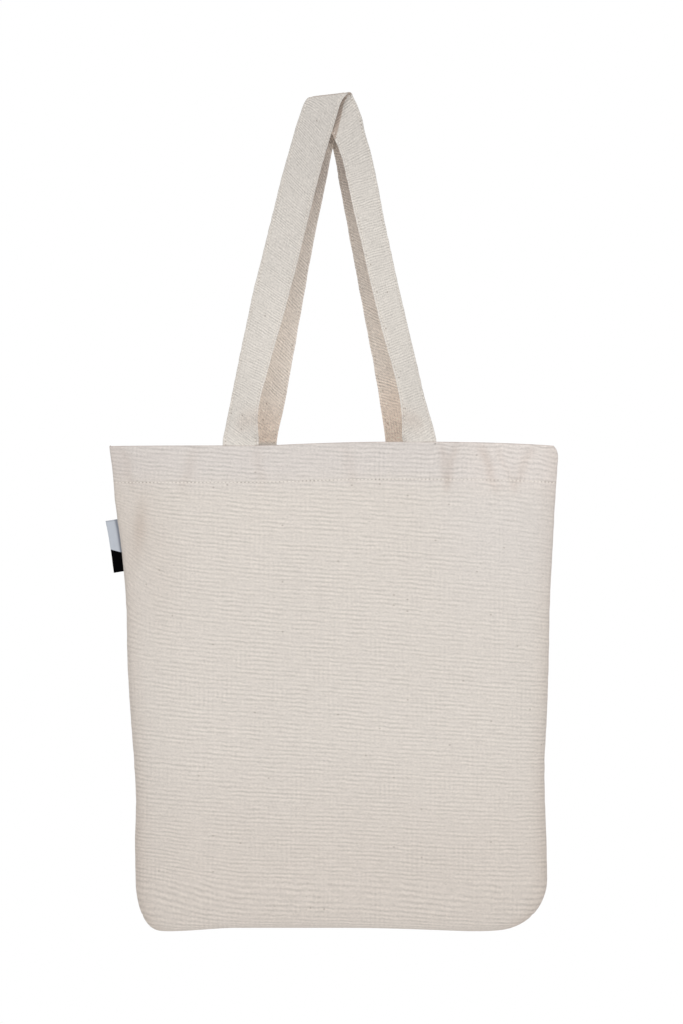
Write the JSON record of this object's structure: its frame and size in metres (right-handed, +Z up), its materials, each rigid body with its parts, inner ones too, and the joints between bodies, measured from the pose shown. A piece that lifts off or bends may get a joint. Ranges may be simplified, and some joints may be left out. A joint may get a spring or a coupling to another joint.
{
  "type": "canvas tote bag",
  "caption": "Soft undyed canvas tote bag hanging empty by its two long flat handles, with a small plain tag in its side seam.",
  "frame": {"origin": "hang point, under the folds of the two handles, midway between them", "axes": "+X to the bag's right seen from the front, +Y towards its back, +Z up"},
  "size_m": [0.3871, 0.0582, 0.7241],
  "materials": {
    "canvas": "matte undyed cotton canvas",
    "strap": "matte undyed cotton, edge stitched",
    "label": "smooth woven tape"
  },
  "bodies": {
    "bag": {"front_panel": "canvas", "back_panel": "canvas", "front_facing": "canvas", "back_facing": "canvas", "left_side_seam": "canvas", "right_side_seam": "canvas", "base_seam": "canvas", "left_corner_seam": "canvas", "right_corner_seam": "canvas", "front_left_strap_end": "strap", "front_right_strap_end": "strap", "back_left_strap_end": "strap", "back_right_strap_end": "strap", "side_label": "label"},
    "front_handle": {"front_handle": "strap"},
    "back_handle": {"back_handle": "strap"}
  },
  "joints": [
    {"name": "front_handle_swing", "type": "hinge", "parent": "bag", "child": "front_handle", "pos_m": [0, -0.019, -0.3], "axis": [1, 0, 0], "range_deg": [0, 160]},
    {"name": "back_handle_swing", "type": "hinge", "parent": "bag", "child": "back_handle", "pos_m": [0, 0.019, -0.3], "axis": [-1, 0, 0], "range_deg": [0, 160]}
  ]
}
